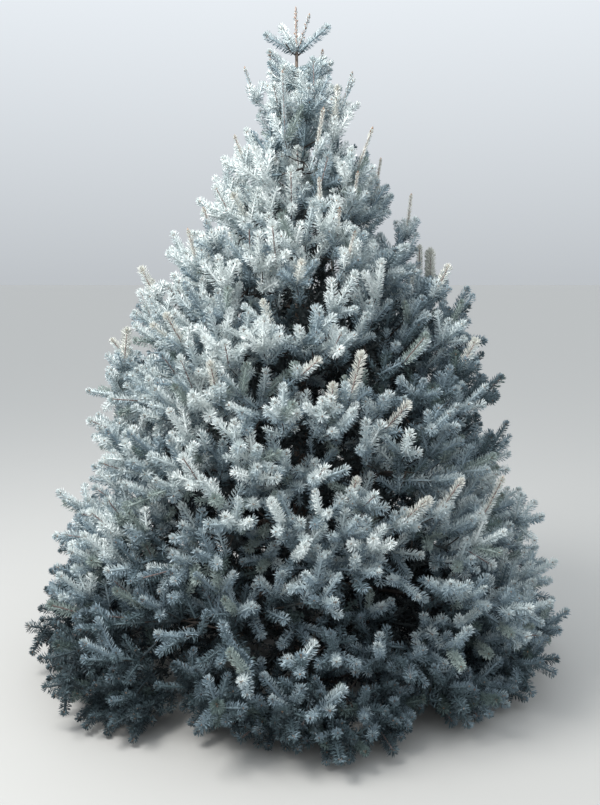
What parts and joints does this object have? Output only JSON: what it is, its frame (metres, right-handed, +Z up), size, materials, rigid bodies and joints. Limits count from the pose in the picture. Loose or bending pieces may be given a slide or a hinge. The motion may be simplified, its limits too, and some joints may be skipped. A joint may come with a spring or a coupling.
{
  "type": "blue spruce tree",
  "caption": "Young blue spruce, a dense cone of silvery blue needles clothed to the ground, with a tapering trunk, low boughs and a thin leading shoot.",
  "frame": {"origin": "middle of the flat cut under the trunk, at ground level", "axes": "+Z up along the trunk; the picture looks along +Y, and +X points to its right"},
  "size_m": [2.0037, 1.9584, 2.5],
  "materials": {
    "bark": "rough grey-brown bark",
    "needles": "waxy silvery blue needles, matt"
  },
  "bodies": {
    "root": {"trunk": "bark", "bough_01_1": "bark", "bough_01_2": "bark", "bough_01_3": "bark", "bough_01_4": "bark", "bough_01_5": "bark", "bough_02_1": "bark", "bough_02_2": "bark", "bough_02_3": "bark", "bough_02_4": "bark", "bough_02_5": "bark", "bough_03_1": "bark", "bough_03_2": "bark", "bough_03_3": "bark", "bough_03_4": "bark", "bough_03_5": "bark", "foliage_01_1": "needles", "foliage_01_2": "needles", "foliage_01_3": "needles", "foliage_01_4": "needles", "foliage_01_5": "needles", "foliage_02_1": "needles", "foliage_02_2": "needles", "foliage_02_3": "needles", "foliage_02_4": "needles", "foliage_02_5": "needles", "foliage_03_1": "needles", "foliage_03_2": "needles", "foliage_03_3": "needles", "foliage_03_4": "needles", "foliage_03_5": "needles", "foliage_04_1": "needles", "foliage_04_2": "needles", "foliage_04_3": "needles", "foliage_04_4": "needles", "foliage_04_5": "needles", "foliage_05_1": "needles", "foliage_05_2": "needles", "foliage_05_3": "needles", "foliage_05_4": "needles", "foliage_05_5": "needles", "foliage_06_1": "needles", "foliage_06_2": "needles", "foliage_06_3": "needles", "foliage_06_4": "needles", "foliage_07_1": "needles", "foliage_07_2": "needles", "foliage_07_3": "needles", "foliage_07_4": "needles", "foliage_08_1": "needles", "foliage_08_2": "needles", "foliage_08_3": "needles", "foliage_09_1": "needles", "foliage_09_2": "needles", "foliage_09_3": "needles", "foliage_10_1": "needles", "foliage_10_2": "needles", "foliage_11_1": "needles", "foliage_11_2": "needles"}
  },
  "joints": []
}
